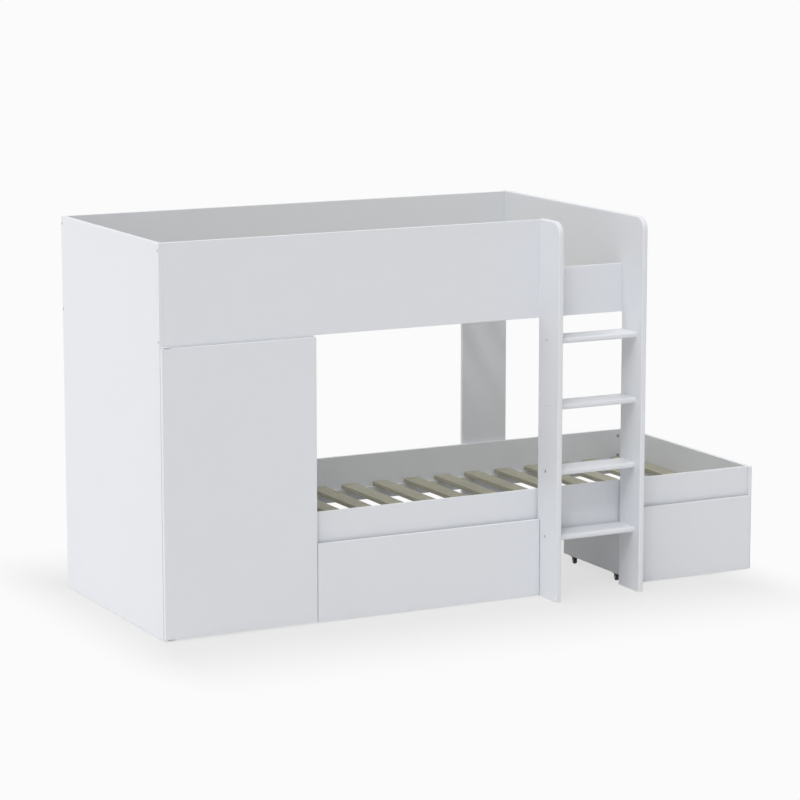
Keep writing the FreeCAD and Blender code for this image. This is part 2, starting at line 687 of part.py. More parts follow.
os.makedirs("parts", exist_ok=True)
for name, shapes in pieces.items():
    solids = [solid for shape in shapes for solid in shape.Solids]
    whole = solids[0] if len(solids) == 1 else Part.Compound(solids)
    whole.translated(-origin).exportStep(f"parts/{name}.step")
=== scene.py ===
import math

import bpy
import numpy as np
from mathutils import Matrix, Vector


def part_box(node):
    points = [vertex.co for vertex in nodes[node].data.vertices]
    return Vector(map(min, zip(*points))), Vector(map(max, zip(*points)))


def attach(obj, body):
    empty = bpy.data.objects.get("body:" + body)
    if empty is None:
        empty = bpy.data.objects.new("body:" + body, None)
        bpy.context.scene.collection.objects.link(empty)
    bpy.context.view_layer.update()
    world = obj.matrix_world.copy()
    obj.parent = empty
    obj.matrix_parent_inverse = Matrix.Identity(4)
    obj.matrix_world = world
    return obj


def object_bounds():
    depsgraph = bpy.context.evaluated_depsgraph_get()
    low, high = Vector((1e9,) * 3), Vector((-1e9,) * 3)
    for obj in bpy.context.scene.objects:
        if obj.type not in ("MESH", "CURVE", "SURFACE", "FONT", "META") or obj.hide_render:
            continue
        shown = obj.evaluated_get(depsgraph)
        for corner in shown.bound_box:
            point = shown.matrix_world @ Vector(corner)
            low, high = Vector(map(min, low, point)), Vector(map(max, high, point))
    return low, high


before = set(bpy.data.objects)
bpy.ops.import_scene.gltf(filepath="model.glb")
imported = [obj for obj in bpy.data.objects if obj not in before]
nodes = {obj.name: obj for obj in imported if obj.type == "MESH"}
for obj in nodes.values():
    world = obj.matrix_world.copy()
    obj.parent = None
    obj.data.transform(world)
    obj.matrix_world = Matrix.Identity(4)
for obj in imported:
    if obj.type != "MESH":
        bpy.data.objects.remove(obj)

cad_box = [list(corner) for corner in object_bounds()]

# Left end panel: one full-height sheet of white melamine-faced chipboard that carries both the upper bunk
# and the wardrobe. The facing has a fine pearl emboss, and its cut edges are closed with a white tape.


def place(tree, kind, feeds, **settings):
    """Add a shader node; feeds maps its inputs to values or to the sockets that drive them."""
    made = tree.nodes.new(kind)
    for key, value in settings.items():
        setattr(made, key, value)
    for key, value in feeds.items():
        if isinstance(value, bpy.types.NodeSocket):
            tree.links.new(value, made.inputs[key])
        else:
            made.inputs[key].default_value = value
    return made


def reckon(tree, operation, *values):
    """Output of a Math node on values or sockets."""
    return place(tree, "ShaderNodeMath", dict(enumerate(values)), operation=operation).outputs[0]


def reckon_vector(tree, operation, *values):
    """Vector output of a Vector Math node on values or sockets."""
    return place(tree, "ShaderNodeVectorMath", dict(enumerate(values)), operation=operation).outputs[0]


def reckon_number(tree, operation, *values):
    """Number output of a Vector Math node, such as a length or a dot product."""
    made = place(tree, "ShaderNodeVectorMath", dict(enumerate(values)), operation=operation)
    return made.outputs["Value"]


def ease(tree, value, start, end, low=0.0, high=1.0):
    """Smooth step of a value from low at start to high at end."""
    feeds = {0: value, 1: start, 2: end, 3: low, 4: high}
    return place(tree, "ShaderNodeMapRange", feeds, interpolation_type="SMOOTHSTEP").outputs[0]


def mix_colour(tree, share, first, second):
    """Colour between two colours or colour sockets, by share."""
    return place(tree, "ShaderNodeMix", {0: share, 6: first, 7: second}, data_type="RGBA").outputs[2]


def noise(tree, point, **feeds):
    """Outputs of a noise texture at a point: first a number, then a colour."""
    return place(tree, "ShaderNodeTexNoise", {"Vector": point, **feeds}).outputs


def split(tree, vector):
    """The three numbers of a vector."""
    return place(tree, "ShaderNodeSeparateXYZ", {0: vector}).outputs


def own_point(tree):
    """The place on the piece, in metres of the shared frame."""
    return place(tree, "ShaderNodeTexCoord", {}).outputs["Object"]


def own_normal(tree):
    """The direction that the piece's surface faces."""
    return place(tree, "ShaderNodeTexCoord", {}).outputs["Normal"]


def effect_group(name, inputs, outputs):
    """Empty shader node group with named sockets; returns its tree, its inputs and its result's sockets."""
    tree = bpy.data.node_groups.new(name, "ShaderNodeTree")
    for socket, kind in inputs.items():
        tree.interface.new_socket(socket, in_out="INPUT", socket_type="NodeSocket" + kind)
    for socket, kind in outputs.items():
        tree.interface.new_socket(socket, in_out="OUTPUT", socket_type="NodeSocket" + kind)
    return tree, tree.nodes.new("NodeGroupInput").outputs, tree.nodes.new("NodeGroupOutput").inputs


def hand_out(tree, result, **masks):
    """Link worked-out values to the outputs of a group."""
    for name, socket in masks.items():
        tree.links.new(socket, result[name])


edge_width = 0.004
tape_start = (0.0006, 0.0009)
seam_depth = 0.0007
seam_width = (0.0001, 0.0003)


def board_edge_group():
    """Masks from the distances to a board's box: near an edge, on the taped narrow faces, and on the tape's
    seam. The middle one of the three distances to the nearest faces is the distance to an edge."""
    tree, given, result = effect_group(
        "board_edges", {"Low": "Vector", "High": "Vector", "Thin": "Vector"},
        {"Edge": "Float", "Tape": "Float", "Seam": "Float"})
    point = own_point(tree)
    from_low = reckon_vector(tree, "ABSOLUTE", reckon_vector(tree, "SUBTRACT", point, given["Low"]))
    from_high = reckon_vector(tree, "ABSOLUTE", reckon_vector(tree, "SUBTRACT", point, given["High"]))
    nearest = reckon_vector(tree, "MINIMUM", from_low, from_high)
    x, y, z = split(tree, nearest)
    smallest = reckon(tree, "MINIMUM", x, reckon(tree, "MINIMUM", y, z))
    largest = reckon(tree, "MAXIMUM", x, reckon(tree, "MAXIMUM", y, z))
    total = reckon(tree, "ADD", x, reckon(tree, "ADD", y, z))
    to_edge = reckon(tree, "SUBTRACT", reckon(tree, "SUBTRACT", total, smallest), largest)
    depth = reckon_number(tree, "DOT_PRODUCT", nearest, given["Thin"])
    from_seam = reckon(tree, "ABSOLUTE", reckon(tree, "SUBTRACT", depth, seam_depth))
    hand_out(tree, result,
             Edge=ease(tree, to_edge, 0.0, edge_width, 1.0, 0.0),
             Tape=ease(tree, depth, *tape_start),
             Seam=ease(tree, from_seam, *seam_width, 1.0, 0.0))
    return tree


rub_limits = (0.58, 0.72)


def pearl_group():
    """Fine emboss of moulded or pressed surfaces, with slow changes of gloss and sparse rubbed patches."""
    tree, given, result = effect_group(
        "pearl_emboss", {"Grain": "Float", "Shift": "Vector"},
        {"Height": "Float", "Cloud": "Float", "Rub": "Float"})
    moved = reckon_vector(tree, "ADD", own_point(tree), given["Shift"])
    rub = noise(tree, moved, Scale=21.0, Detail=5.0, Distortion=0.8)[0]
    hand_out(tree, result,
             Height=noise(tree, moved, Scale=given["Grain"], Detail=2.0)[0],
             Cloud=noise(tree, moved, Scale=3.5, Detail=3.0, Roughness=0.6)[0],
             Rub=ease(tree, rub, *rub_limits))
    return tree


middle_of_noise = (0.3, 0.7)
looking_up = (0.5, 1.0)


def dust_group():
    """Thin dust where a surface looks up, broken up by noise."""
    tree, given, result = effect_group("settled_dust", {"Amount": "Float"}, {"Dust": "Float"})
    facing = ease(tree, split(tree, own_normal(tree))[2], *looking_up)
    specks = noise(tree, own_point(tree), Scale=45.0, Detail=6.0)[0]
    patchy = ease(tree, specks, *middle_of_noise)
    layer = reckon(tree, "MULTIPLY", facing, reckon(tree, "MULTIPLY", patchy, given["Amount"]))
    hand_out(tree, result, Dust=layer)
    return tree


board_edges = board_edge_group()
pearl_emboss = pearl_group()
settled_dust = dust_group()


def new_shader(name):
    """Material with a bare Principled shader; returns the material, its tree and the shader."""
    material = bpy.data.materials.new(name)
    material.use_nodes = True
    return material, material.node_tree, material.node_tree.nodes["Principled BSDF"]


def effect(tree, group, **feeds):
    """Outputs of a node group placed in a material with its own values."""
    return place(tree, "ShaderNodeGroup", feeds, node_tree=group).outputs


def edge_masks(tree, name):
    """Edge, tape and seam masks of a board, from its own box and its thinnest side."""
    low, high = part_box(name)
    size = high - low
    thin = [float(extent == min(size)) for extent in size]
    return effect(tree, board_edges, Low=low, High=high, Thin=thin)


def finish_surface(tree, shader, colour, roughness, height, relief):
    """Drive a shader's colour, roughness and bump; relief is the bump's strength and depth in metres."""
    strength, depth = relief
    bump = place(tree, "ShaderNodeBump", {"Strength": strength, "Distance": depth, "Height": height})
    tree.links.new(colour, shader.inputs["Base Color"])
    tree.links.new(roughness, shader.inputs["Roughness"])
    tree.links.new(bump.outputs[0], shader.inputs["Normal"])


def dress(name, material):
    """Give a carried-over piece its material."""
    nodes[name].material_slots[0].material = material


melamine_white = (0.795, 0.812, 0.847, 1)
tape_white = (0.799, 0.816, 0.850, 1)
seam_grey = (0.66, 0.66, 0.66, 1)
seam_share = 0.5
dust_grey = (0.66, 0.66, 0.65, 1)
board_dust = 0.10
board_grain = 1100.0
board_shift = 7.3
board_roughness = (0.34, 0.44)
tape_smoother = 0.03
rub_smoother = 0.05
edge_smoother = 0.04
dust_rougher = 0.5
board_relief = (0.12, 0.0003)
board_specular = 0.45


def white_board(name):
    """White melamine fitted to the board's own box: emboss, rubbed gloss, taped edges and thin dust."""
    material, tree, shader = new_shader(f"white_melamine_{name}")
    edges = edge_masks(tree, name)
    pearl = effect(tree, pearl_emboss, Grain=board_grain, Shift=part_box(name)[0] * board_shift)
    dust = effect(tree, settled_dust, Amount=board_dust)["Dust"]
    faced = mix_colour(tree, edges["Tape"], melamine_white, tape_white)
    seamed = mix_colour(tree, reckon(tree, "MULTIPLY", edges["Seam"], seam_share), faced, seam_grey)
    dusty = mix_colour(tree, dust, seamed, dust_grey)
    roughness = ease(tree, pearl["Cloud"], *middle_of_noise, *board_roughness)
    smoother = ((edges["Tape"], tape_smoother), (pearl["Rub"], rub_smoother),
                (edges["Edge"], edge_smoother))
    for mask, amount in smoother:
        roughness = reckon(tree, "SUBTRACT", roughness, reckon(tree, "MULTIPLY", mask, amount))
    roughness = reckon(tree, "ADD", roughness, reckon(tree, "MULTIPLY", dust, dust_rougher))
    finish_surface(tree, shader, dusty, roughness, pearl["Height"], board_relief)
    shader.inputs["Specular IOR Level"].default_value = board_specular
    dress(name, material)


white_board("left_end_panel")

# Upper bunk: front guard, low guard behind the ladder, back panel and right end, cut from the same white
# board. The right end reaches down in front as the right side of the ladder and has rounded corners.

for board_name in ("upper_front_guard", "upper_entry_guard", "upper_back_panel", "right_end_panel"):
    white_board(board_name)

# Ladder: a stout left side and four steps, white board again. The steps are screwed and dowelled between
# that side and the leg of the right end.

ladder_names = ["left_ladder_stile"] + [f"ladder_step_{number}" for number in range(1, 5)]
for board_name in ladder_names:
    white_board(board_name)

# Rear leg, footboard and rails of the lower bed, also white board. The rails hang between the wardrobe's
# side and the footboard, and the rear leg is screwed to the backs of both beds.

for board_name in ("rear_leg", "footboard", "lower_front_rail", "lower_back_rail"):
    white_board(board_name)

# Cleats: planed battens painted white, screwed along the inner faces of guards and rails to carry the
# slats. The fibres show through the single coat of paint, and each cleat has seven zinc-plated screw heads.

wander_stretch = (9.0, 1.6, 9.0)
wander_middle = (0.5, 0.5, 0.5)
wander_reach = (0.05, 0.0, 0.05)
seed_spread = (37.0, 53.0, 29.0)
pith_middle = (0.5, 0.5, 0.9)
pith_reach = (0.10, 0.0, 0.06)
across_grain = (1.0, 0.0, 1.0)
rings_per_metre = 240.0
ring_sharpness = 2.5
fibre_stretch = (700.0, 14.0, 700.0)
knot_stretch = (13.0, 2.8, 3.0)
knot_limits = (0.05, 0.14)


def wood_group():
    """Growth rings round a wandering pith, fine fibres along Y and a few knots, for a board at any place.
    A ring is a power of the fraction of the distance from the pith, counted in rings."""
    tree, given, result = effect_group(
        "planed_wood", {"Point": "Vector", "Seed": "Vector"},
        {"Ring": "Float", "Fibre": "Float", "Knot": "Float"})
    far_seed = reckon_vector(tree, "MULTIPLY", given["Seed"], seed_spread)

    def stretched(stretch):
        """The point, stretched and then moved to the board's own part of the pattern."""
        longer = reckon_vector(tree, "MULTIPLY", given["Point"], stretch)
        return reckon_vector(tree, "ADD", longer, far_seed)

    wander = noise(tree, stretched(wander_stretch), Scale=1.0, Detail=3.0)[1]
    centred = reckon_vector(tree, "SUBTRACT", wander, wander_middle)
    swing = reckon_vector(tree, "MULTIPLY", centred, wander_reach)
    off_middle = reckon_vector(tree, "SUBTRACT", given["Seed"], pith_middle)
    pith = reckon_vector(tree, "MULTIPLY", off_middle, pith_reach)
    moved = reckon_vector(tree, "ADD", given["Point"], reckon_vector(tree, "ADD", swing, pith))
    radius = reckon_number(tree, "LENGTH", reckon_vector(tree, "MULTIPLY", moved, across_grain))
    in_ring = reckon(tree, "FRACT", reckon(tree, "MULTIPLY", radius, rings_per_metre))
    knots = place(tree, "ShaderNodeTexVoronoi", {"Vector": stretched(knot_stretch), "Scale": 1.0})
    hand_out(tree, result,
             Ring=reckon(tree, "POWER", in_ring, ring_sharpness),
             Fibre=noise(tree, stretched(fibre_stretch), Scale=1.0, Detail=3.0)[0],
             Knot=ease(tree, knots.outputs[0], *knot_limits, 1.0, 0.0))
    return tree


planed_wood = wood_group()


def along_x(tree):
    """The place on a piece that runs along X, with X and Y changed over, as the fibres follow Y."""
    x, y, z = split(tree, own_point(tree))
    return place(tree, "ShaderNodeCombineXYZ", {0: y, 1: x, 2: z}).outputs[0]


cleat_paint = (0.78, 0.78, 0.77, 1)
cleat_bare = (0.60, 0.55, 0.43, 1)
cleat_bare_fibres = (0.5, 0.7)
cleat_most_bare = 0.5
cleat_roughness = (0.45, 0.60)
cleat_relief = (0.25, 0.0003)


def painted_cleat(name):
    """White paint over a batten along X, thinner on its edges, with the fibres printed through."""
    material, tree, shader = new_shader(f"painted_batten_{name}")
    wood = effect(tree, planed_wood, Point=along_x(tree), Seed=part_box(name)[0])
    raised = ease(tree, wood["Fibre"], *cleat_bare_fibres, 0.0, cleat_most_bare)
    bare = reckon(tree, "MULTIPLY", edge_masks(tree, name)["Edge"], raised)
    colour = mix_colour(tree, bare, cleat_paint, cleat_bare)
    roughness = ease(tree, wood["Fibre"], *middle_of_noise, *cleat_roughness)
    height = reckon(tree, "ADD", wood["Fibre"], wood["Ring"])
    finish_surface(tree, shader, colour, roughness, height, cleat_relief)
    dress(name, material)


dull_limits = (0.45, 0.7)


def metal_group():
    """Fine drawn lines along one direction and slow dull patches, for plated and bare metal."""
    tree, given, result = effect_group(
        "metal_marks", {"Stretch": "Vector", "Scale": "Float"}, {"Lines": "Float", "Dull": "Float"})
    point = own_point(tree)
    drawn = reckon_vector(tree, "MULTIPLY", point, given["Stretch"])
    dull = noise(tree, point, Scale=60.0, Detail=4.0)[0]
    hand_out(tree, result,
             Lines=noise(tree, drawn, Scale=given["Scale"], Detail=3.0)[0],
             Dull=ease(tree, dull, *dull_limits))
    return tree


metal_marks = metal_group()
metal_line_scale = 900.0
metal_line_depth = 0.0002
dull_shade = 0.8


def metal(name, colour, bright, dulled, stretch, strength):
    """Metal of one colour whose roughness goes from bright to dulled, with drawn lines pressed in."""
    material, tree, shader = new_shader(name)
    marks = effect(tree, metal_marks, Stretch=stretch, Scale=metal_line_scale)
    shade = tuple(channel * dull_shade for channel in colour[:3]) + (1,)
    patchy = mix_colour(tree, marks["Dull"], colour, shade)
    roughness = place(tree, "ShaderNodeMapRange", {0: marks["Dull"], 3: bright, 4: dulled}).outputs[0]
    finish_surface(tree, shader, patchy, roughness, marks["Lines"], (strength, metal_line_depth))
    shader.inputs["Metallic"].default_value = 1.0
    return material


zinc = (0.66, 0.67, 0.69, 1)
zinc_plated = metal("zinc_plated_steel", zinc, bright=0.26, dulled=0.45, stretch=(1, 1, 1), strength=0.1)


def put_in_scene(name, data):
    """New object of this data, at the origin of the scene."""
    made = bpy.data.objects.new(name, data)
    bpy.context.scene.collection.objects.link(made)
    return made


head_spokes = 24
head_rings = (0.12, 0.34, 0.56, 0.78, 0.93, 1.0, 1.0)
head_rim = 0.12
head_crown = 0.28
head_seat = 0.0004
head_turn_step = 2.4
head_crease = math.radians(40)
cross_arm = 0.28
cross_reach = 0.75
cross_slope = 0.3


def raised_heads(name, body, places, outward, radius, recess, material):
    """Round heads on a flat face: a low rim and a crown that falls with the square of the distance from
    the axis, with a cross of four arms sunk into it by recess; the rim goes into the face and a disc
    closes it."""
    share = np.array(head_rings)[None, :, None]
    turn = np.linspace(0.0, 2 * np.pi, head_spokes, endpoint=False)[None, None, :]
    twist = head_turn_step * np.arange(len(places))[:, None, None]
    arm = np.clip(1 - np.abs(np.sin(2 * turn)) * share / cross_arm, 0, 1)
    sunk = recess * arm * np.clip((cross_reach - share) / cross_slope, 0, 1)
    height = radius * (head_rim + head_crown * (1 - share ** 2) - sunk)
    height[:, -1] = -head_seat
    normal = np.array(outward, float)
    side = np.roll(np.abs(normal), 1)
    up = np.cross(normal, side)
    reach = radius * share
    points = np.array(places)[:, None, None, :] + height[..., None] * normal
    points = points + (reach * np.cos(turn + twist))[..., None] * side
    points = points + (reach * np.sin(turn + twist))[..., None] * up
    rows = len(head_rings)
    here = np.arange(head_spokes)
    ahead = np.roll(here, -1)
    first = np.arange(len(places))[:, None] * rows * head_spokes
    near = first[..., None] + np.arange(rows - 1)[None, :, None] * head_spokes
    far = near + head_spokes
    quads = np.stack([near + here, far + here, far + ahead, near + ahead], axis=-1)
    crowns = first + here
    discs = first + (rows - 1) * head_spokes + here[::-1]
    mesh = bpy.data.meshes.new(name)
    mesh.from_pydata(points.reshape(-1, 3).tolist(), [],
                     quads.reshape(-1, 4).tolist() + crowns.tolist() + discs.tolist())
    mesh.shade_smooth()
    mesh.set_sharp_from_angle(angle=head_crease)
    mesh.materials.append(material)
    piece = put_in_scene(name, mesh)
    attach(piece, body)


cross_recess = 0.22


def screw_heads(name, body, places, outward, radius):
    """Zinc-plated screw heads with a cross recess."""
    raised_heads(name, body, places, outward, radius, cross_recess, zinc_plated)


cleat_screw_radius = 0.004
cleat_screw_count = 7
cleat_screw_margin = 0.09

for bed in ("upper", "lower"):
    for side, outward in (("front", 1), ("back", -1)):
        cleat = f"{bed}_{side}_cleat"
        painted_cleat(cleat)
        low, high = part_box(cleat)
        cleat_face = high.y if side == "front" else low.y
        along = np.linspace(low.x + cleat_screw_margin, high.x - cleat_screw_margin, cleat_screw_count)
        screw_places = [(x, cleat_face, (low.z + high.z) / 2) for x in along]
        screw_heads(f"{cleat}_screws", "frame", screw_places, (0, outward, 0), cleat_screw_radius)

# Slats: fourteen softwood boards across each bed, planed, with rounded long edges and left bare. They lie
# on the cleats, and a raised-head screw holds each of them at either end.

slat_count = 14
slat_width = 0.070
slat_pale = (0.500, 0.492, 0.396, 1)
slat_dark = (0.362, 0.340, 0.252, 1)
slat_knot = (0.150, 0.110, 0.070, 1)
slat_end_grey = (0.330, 0.320, 0.260, 1)
slat_ring_share = 0.75
slat_streaks = (0.35, 0.75)
slat_streak_share = 0.35
slat_tone_share = 0.25
slat_knot_share = 0.6
slat_end_facing = (0.6, 0.9)
slat_end_share = 0.7
slat_ring_height = 0.6
slat_roughness = (0.58, 0.74)
slat_relief = (0.35, 0.0004)
slat_specular = 0.3


def bare_slats(name):
    """Bare softwood along Y; each slat takes its own pith, tone and knots from its number along X."""
    low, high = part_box(name)
    pitch = (high.x - low.x - slat_width) / (slat_count - 1)
    row_start = low.x - (pitch - slat_width) / 2
    material, tree, shader = new_shader(f"bare_softwood_{name}")
    x, y, z = split(tree, own_point(tree))
    along_row = reckon(tree, "DIVIDE", reckon(tree, "SUBTRACT", x, row_start), pitch)
    number = reckon(tree, "FLOOR", along_row)
    from_middle = reckon(tree, "SUBTRACT", reckon(tree, "FRACT", along_row), 0.5)
    across = reckon(tree, "MULTIPLY", from_middle, pitch)
    up = reckon(tree, "SUBTRACT", z, low.z)
    point = place(tree, "ShaderNodeCombineXYZ", {0: across, 1: y, 2: up}).outputs[0]
    own = place(tree, "ShaderNodeTexWhiteNoise", {"W": number}, noise_dimensions="1D").outputs
    wood = effect(tree, planed_wood, Point=point, Seed=own["Color"])
    streak = ease(tree, wood["Fibre"], *slat_streaks, 0.0, slat_streak_share)
    figure = reckon(tree, "MAXIMUM", reckon(tree, "MULTIPLY", wood["Ring"], slat_ring_share), streak)
    toned = reckon(tree, "ADD", figure, reckon(tree, "MULTIPLY", own["Value"], slat_tone_share))
    grained = mix_colour(tree, toned, slat_pale, slat_dark)
    knotted = mix_colour(tree, reckon(tree, "MULTIPLY", wood["Knot"], slat_knot_share), grained, slat_knot)
    endwise = reckon(tree, "ABSOLUTE", split(tree, own_normal(tree))[1])
    sawn_end = ease(tree, endwise, *slat_end_facing, 0.0, slat_end_share)
    colour = mix_colour(tree, sawn_end, knotted, slat_end_grey)
    roughness = ease(tree, wood["Fibre"], *middle_of_noise, *slat_roughness)
    height = reckon(tree, "ADD", wood["Fibre"], reckon(tree, "MULTIPLY", wood["Ring"], slat_ring_height))
    finish_surface(tree, shader, colour, roughness, height, slat_relief)
    shader.inputs["Specular IOR Level"].default_value = slat_specular
    dress(name, material)


slat_screw_radius = 0.0035

for bed in ("upper", "lower"):
    bare_slats(f"{bed}_slats")
    low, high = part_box(f"{bed}_slats")
    slat_middles = np.linspace(low.x + slat_width / 2, high.x - slat_width / 2, slat_count)
    screw_places = []
    for side in ("front", "back"):
        cleat_low, cleat_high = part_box(f"{bed}_{side}_cleat")
        screw_places += [(x, (cleat_low.y + cleat_high.y) / 2, high.z) for x in slat_middles]
    screw_heads(f"{bed}_slat_screws", "frame", screw_places, (0, 0, 1), slat_screw_radius)

# Wardrobe: side panel, top, floor and a loose shelf of white board, and a 3 mm hardboard back slid into
# grooves. The hardboard is painted white on a smooth face with a faint print of its rollers.

for board_name in ("wardrobe_side_panel", "wardrobe_top", "wardrobe_floor", "wardrobe_shelf"):
    white_board(board_name)

hardboard_paint = (0.770, 0.768, 0.755, 1)
hardboard_brown = (0.33, 0.22, 0.14, 1)
hardboard_grain = 420.0
hardboard_shift = 5.1
hardboard_dust = 0.3
hardboard_roughness = (0.5, 0.62)
hardboard_relief = (0.3, 0.0003)


def painted_hardboard(name):
    """Roller-painted hardboard: fine stipple and, on its raw edges, the brown of pressed fibre."""
    material, tree, shader = new_shader(f"painted_hardboard_{name}")
    pearl = effect(tree, pearl_emboss, Grain=hardboard_grain, Shift=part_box(name)[0] * hardboard_shift)
    dust = effect(tree, settled_dust, Amount=hardboard_dust)["Dust"]
    raw = mix_colour(tree, edge_masks(tree, name)["Tape"], hardboard_paint, hardboard_brown)
    dusty = mix_colour(tree, dust, raw, dust_grey)
    roughness = ease(tree, pearl["Cloud"], *middle_of_noise, *hardboard_roughness)
    finish_surface(tree, shader, dusty, roughness, pearl["Height"], hardboard_relief)
    dress(name, material)


painted_hardboard("wardrobe_back")

# Hanging rail: a chromed steel tube in two cups that are screwed to the wardrobe's sides below the shelf.
# The plating is mirror bright with fine drawn lines along the tube and a few dulled places.

chrome = (0.80, 0.80, 0.82, 1)
chromed = metal("chromed_tube", chrome, bright=0.08, dulled=0.2, stretch=(0.03, 1, 1), strength=0.05)
dress("hanging_rail", chromed)
dress("hanging_rail_sockets", chromed)

socket_flange = 0.003
socket_screw_ring = 0.0188
socket_screw_radius = 0.0028
socket_screw_turns = (math.pi / 2, math.pi * 7 / 6, math.pi * 11 / 6)
low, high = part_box("hanging_rail_sockets")
socket_y = (low.y + high.y) / 2
socket_z = (low.z + high.z) / 2
for side, face, outward in (("left", low.x + socket_flange, 1), ("right", high.x - socket_flange, -1)):
    screw_places = [(face, socket_y + socket_screw_ring * math.cos(turn),
                     socket_z + socket_screw_ring * math.sin(turn)) for turn in socket_screw_turns]
    screw_heads(f"{side}_socket_screws", "frame", screw_places, (outward, 0, 0), socket_screw_radius)

# Pivot plates, shelf pins and latch strike: pressed and turned steel. The plates carry the door and are
# sprayed white like the boards; pins and strike are zinc plated, pale and slightly blue with dull clouds.

for metal_name in ("shelf_pins", "latch_strike"):
    dress(metal_name, zinc_plated)

pearl_shift = (0.3, 0.1, 0.7)
pearl_rub_keeps = 0.85
pearl_rub_adds = 0.05
pearl_smoother = 0.06
pearl_rougher = 0.08
pearl_depth = 0.0002


def pearl_finish(name, colour, roughness, grain, strength):
    """Moulded plastic or sprayed lacquer: one colour, fine grain, clouds of gloss and rubbed patches."""
    material, tree, shader = new_shader(name)
    pearl = effect(tree, pearl_emboss, Grain=grain, Shift=pearl_shift)
    paler = tuple(channel * pearl_rub_keeps + pearl_rub_adds for channel in colour[:3]) + (1,)
    rubbed = mix_colour(tree, pearl["Rub"], colour, paler)
    smoothest = roughness - pearl_smoother
    roughest = roughness + pearl_rougher
    clouded = ease(tree, pearl["Cloud"], *middle_of_noise, smoothest, roughest)
    finish_surface(tree, shader, rubbed, clouded, pearl["Height"], (strength, pearl_depth))
    return material


lacquer_white = (0.78, 0.79, 0.82, 1)
white_lacquer = pearl_finish("white_lacquer", lacquer_white, roughness=0.40, grain=1000.0, strength=0.1)
plate_screw_radius = 0.004
plate_screw_inset = 0.012
plate_screw_setbacks = (0.015, 0.038)
for end, outward in (("bottom", -1), ("top", 1)):
    plate = f"pivot_plate_{end}"
    dress(plate, white_lacquer)
    low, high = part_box(plate)
    plate_face = high.z if end == "top" else low.z
    screw_x = high.x - plate_screw_inset
    screw_places = [(screw_x, high.y - setback, plate_face) for setback in plate_screw_setbacks]
    screw_heads(f"{plate}_screws", "frame", screw_places, (0, 0, outward), plate_screw_radius)

# Wardrobe door: a plain white board without a handle, in front of the carcass edges. It turns on two pins
# in nylon bushes and opens at a push on its latch of grey plastic. Two nylon bumpers soften its closing.

white_board("wardrobe_door")

nylon_white = (0.80, 0.80, 0.77, 1)
latch_grey = (0.50, 0.51, 0.52, 1)
white_nylon = pearl_finish("white_nylon", nylon_white, roughness=0.42, grain=900.0, strength=0.1)
grey_plastic = pearl_finish("grey_moulding", latch_grey, roughness=0.40, grain=1200.0, strength=0.2)
dress("door_pivot_bushes", white_nylon)
dress("push_latch_housing", grey_plastic)
dress("push_latch_plunger", grey_plastic)

latch_screw_radius = 0.0022
latch_screw_inset = 0.009
low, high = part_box("push_latch_housing")
latch_screw_rows = (low.y + latch_screw_inset, high.y - latch_screw_inset)
screw_places = [(low.x, y, (low.z + high.z) / 2) for y in latch_screw_rows]
screw_heads("latch_screws", "frame", screw_places, (-1, 0, 0), latch_screw_radius)

bumper_radius = 0.0045
bumper_margin = 0.06
bumper_recess = 0.0
low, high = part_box("wardrobe_door")
edge_low, edge_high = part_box("wardrobe_side_panel")
bumper_levels = (low.z + bumper_margin, high.z - bumper_margin)
bumper_places = [((edge_low.x + edge_high.x) / 2, high.y, z) for z in bumper_levels]
raised_heads("door_bumpers", "wardrobe_door", bumper_places, (0, 1, 0), bumper_radius, bumper_recess,
             white_nylon)

# Drawers: white board boxes with hardboard bottoms let into grooves. Each rolls on four small casters with
# black forks, riveted axles and hard dark wheels.

fork_black = (0.036, 0.036, 0.039, 1)
wheel_grey = (0.085, 0.085, 0.090, 1)
black_plastic = pearl_finish("black_fork_plastic", fork_black, roughness=0.45, grain=1000.0, strength=0.3)
wheel_dark = pearl_finish("dark_wheel_plastic", wheel_grey, roughness=0.50, grain=700.0, strength=0.3)
fork_plate = 0.002
fork_width = 0.016
fork_length = 0.040
caster_screw_offset = 0.0145
caster_screw_radius = 0.0028
for drawer in ("left_drawer", "right_drawer"):
    for part in ("front", "left_side", "right_side", "back"):
        white_board(f"{drawer}_{part}")
    painted_hardboard(f"{drawer}_bottom")
    dress(f"{drawer}_caster_forks", black_plastic)
    dress(f"{drawer}_caster_axles", zinc_plated)
    for row in ("front", "rear"):
        dress(f"{drawer}_{row}_wheels", wheel_dark)
    low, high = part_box(f"{drawer}_caster_forks")
    screw_places = [(x, y + offset, high.z - fork_plate)
                    for x in (low.x + fork_width / 2, high.x - fork_width / 2)
                    for y in (low.y + fork_length / 2, high.y - fork_length / 2)
                    for offset in (-caster_screw_offset, caster_screw_offset)]
    screw_heads(f"{drawer}_caster_screws", drawer, screw_places, (0, 0, -1), caster_screw_radius)

# Fixings: flush socket-head screws, die-cast cams with steel pins, and beech dowels. Only heads and cam
# faces show, on the ends, the ladder sides and the inner faces of the rails.

cast_grey = (0.50, 0.51, 0.53, 1)
cast_zinc = metal("die_cast_zinc", cast_grey, bright=0.42, dulled=0.6, stretch=(1, 1, 1), strength=0.3)
dress("cam_locks", cast_zinc)
for metal_name in ("panel_screws", "rear_leg_screws", "cam_pins"):
    dress(metal_name, zinc_plated)

